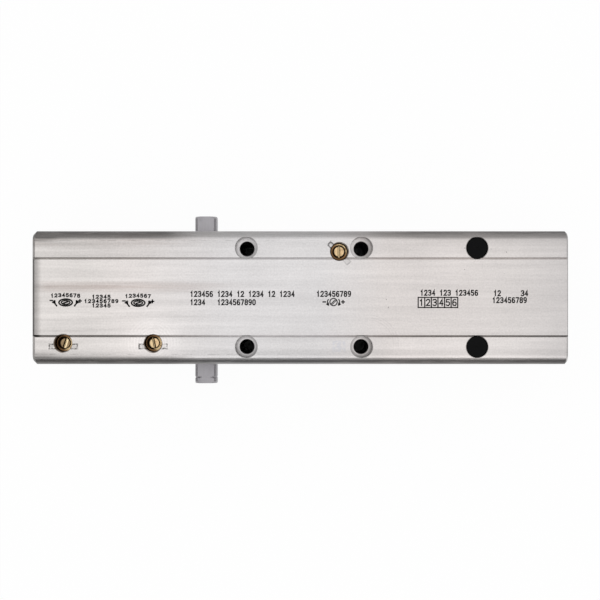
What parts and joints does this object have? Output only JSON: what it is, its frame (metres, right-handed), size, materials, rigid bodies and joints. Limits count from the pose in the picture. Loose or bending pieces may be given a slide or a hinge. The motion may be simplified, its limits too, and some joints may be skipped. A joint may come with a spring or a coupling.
{
  "type": "overhead door closer",
  "caption": "Overhead door closer body with a square-ended pinion spindle, a rack piston, an adjustable closing spring and slotted brass regulating screws.",
  "frame": {"origin": "on the flat mounting face, under the pinion's axis at the middle of the body's height", "axes": "+X along the body from the closing end to the spring end, +Y along the pinion, +Z out of the mounting face"},
  "size_m": [0.244, 0.0785, 0.044],
  "materials": {
    "body_aluminium": "extruded and satin anodised",
    "plug_steel": "turned and zinc plated",
    "pinion_steel": "milled and plain",
    "bearing_steel": "ground and polished",
    "cage_brass": "pressed",
    "piston_iron": "ground, with a cut rack",
    "spring_steel": "oil tempered wire",
    "valve_brass": "turned",
    "ring_rubber": "moulded",
    "cap_plastic": "moulded"
  },
  "bodies": {
    "case": {"closer_body": "body_aluminium", "left_end_plug": "plug_steel", "left_plug_ring": "ring_rubber", "right_end_plug": "plug_steel", "right_plug_ring": "ring_rubber", "gallery_ball_plug": "bearing_steel", "upper_bearing_cap": "plug_steel", "upper_shaft_seal": "ring_rubber", "upper_cap_ring": "ring_rubber", "upper_bearing_outer_race": "bearing_steel", "lower_bearing_cap": "plug_steel", "lower_shaft_seal": "ring_rubber", "lower_cap_ring": "ring_rubber", "lower_bearing_outer_race": "bearing_steel", "main_spring": "spring_steel", "upper_hole_cap": "cap_plastic", "lower_hole_cap": "cap_plastic"},
    "pinion_shaft": {"pinion": "pinion_steel", "upper_bearing_inner_race": "bearing_steel", "lower_bearing_inner_race": "bearing_steel"},
    "upper_ball_cage": {"upper_bearing_cage": "cage_brass", "upper_bearing_balls": "bearing_steel"},
    "lower_ball_cage": {"lower_bearing_cage": "cage_brass", "lower_bearing_balls": "bearing_steel"},
    "piston_unit": {"piston": "piston_iron", "check_valve_plug": "valve_brass", "check_spring": "spring_steel", "relief_valve_plug": "valve_brass", "relief_spring": "spring_steel"},
    "check_valve_ball": {"check_ball": "bearing_steel"},
    "relief_valve_ball": {"relief_ball": "bearing_steel"},
    "follower": {"spring_follower": "plug_steel"},
    "adjuster": {"adjusting_screw": "pinion_steel", "adjusting_screw_ring": "ring_rubber"},
    "latching_screw": {"latching_valve": "valve_brass"},
    "latching_screw_ring": {"latching_valve_ring": "ring_rubber"},
    "closing_screw": {"closing_valve": "valve_brass"},
    "closing_screw_ring": {"closing_valve_ring": "ring_rubber"},
    "backcheck_screw": {"backcheck_valve": "valve_brass"},
    "backcheck_screw_ring": {"backcheck_valve_ring": "ring_rubber"}
  },
  "joints": [
    {"name": "pinion_turn", "type": "hinge", "parent": "case", "child": "pinion_shaft", "pos_m": [0, 0, 0.022], "axis": [0, 1, 0], "range_deg": [0, 178.2]},
    {"name": "piston_slide", "type": "slide", "parent": "case", "child": "piston_unit", "axis": [1, 0, 0], "range_m": [0, 0.02563], "stiffness_N_per_m": 2000, "deforming": ["main_spring"]},
    {"name": "check_ball_lift", "type": "slide", "parent": "piston_unit", "child": "check_valve_ball", "axis": [-1, 0, 0], "range_m": [0, 0.001], "stiffness_N_per_m": 50, "deforming": ["check_spring"]},
    {"name": "relief_ball_lift", "type": "slide", "parent": "piston_unit", "child": "relief_valve_ball", "axis": [-1, 0, 0], "range_m": [0, 0.001], "stiffness_N_per_m": 50, "deforming": ["relief_spring"]},
    {"name": "adjuster_turn", "type": "hinge", "parent": "case", "child": "adjuster", "pos_m": [0.155, 0, 0.022], "axis": [-1, 0, 0], "range_deg": [0, 3602]},
    {"name": "follower_slide", "type": "slide", "parent": "case", "child": "follower", "axis": [-1, 0, 0], "range_m": [0, 0.015], "deforming": ["main_spring"]},
    {"name": "upper_cage_turn", "type": "hinge", "parent": "case", "child": "upper_ball_cage", "pos_m": [0, 0, 0.022], "axis": [0, 1, 0], "range_deg": [0, 79]},
    {"name": "lower_cage_turn", "type": "hinge", "parent": "case", "child": "lower_ball_cage", "pos_m": [0, 0, 0.022], "axis": [0, 1, 0], "range_deg": [0, 79]},
    {"name": "latching_travel", "type": "slide", "parent": "case", "child": "latching_screw_ring", "axis": [0, 0, -1], "range_m": [-0.00038, 0.00075]},
    {"name": "latching_turn", "type": "hinge", "parent": "latching_screw_ring", "child": "latching_screw", "pos_m": [-0.0632, -0.0208, 0.04], "axis": [0, 0, -1], "range_deg": [-180.5, 360.5]},
    {"name": "closing_travel", "type": "slide", "parent": "case", "child": "closing_screw_ring", "axis": [0, 0, -1], "range_m": [-0.00038, 0.00075]},
    {"name": "closing_turn", "type": "hinge", "parent": "closing_screw_ring", "child": "closing_screw", "pos_m": [-0.0224, -0.0208, 0.04], "axis": [0, 0, -1], "range_deg": [-180.5, 360.5]},
    {"name": "backcheck_travel", "type": "slide", "parent": "case", "child": "backcheck_screw_ring", "axis": [0, 0, -1], "range_m": [-0.00038, 0.00075]},
    {"name": "backcheck_turn", "type": "hinge", "parent": "backcheck_screw_ring", "child": "backcheck_screw", "pos_m": [0.0622, 0.0208, 0.04], "axis": [0, 0, -1], "range_deg": [-180.5, 360.5]}
  ],
  "couplings": [
    {"joint": "pinion_turn", "follows": "piston_slide", "rad_per_m": 121.21},
    {"joint": "adjuster_turn", "follows": "follower_slide", "rad_per_m": 4188.8},
    {"joint": "upper_cage_turn", "follows": "piston_slide", "rad_per_m": 53.209},
    {"joint": "lower_cage_turn", "follows": "piston_slide", "rad_per_m": 53.209},
    {"joint": "latching_turn", "follows": "latching_travel", "rad_per_m": 8377.6},
    {"joint": "closing_turn", "follows": "closing_travel", "rad_per_m": 8377.6},
    {"joint": "backcheck_turn", "follows": "backcheck_travel", "rad_per_m": 8377.6}
  ]
}
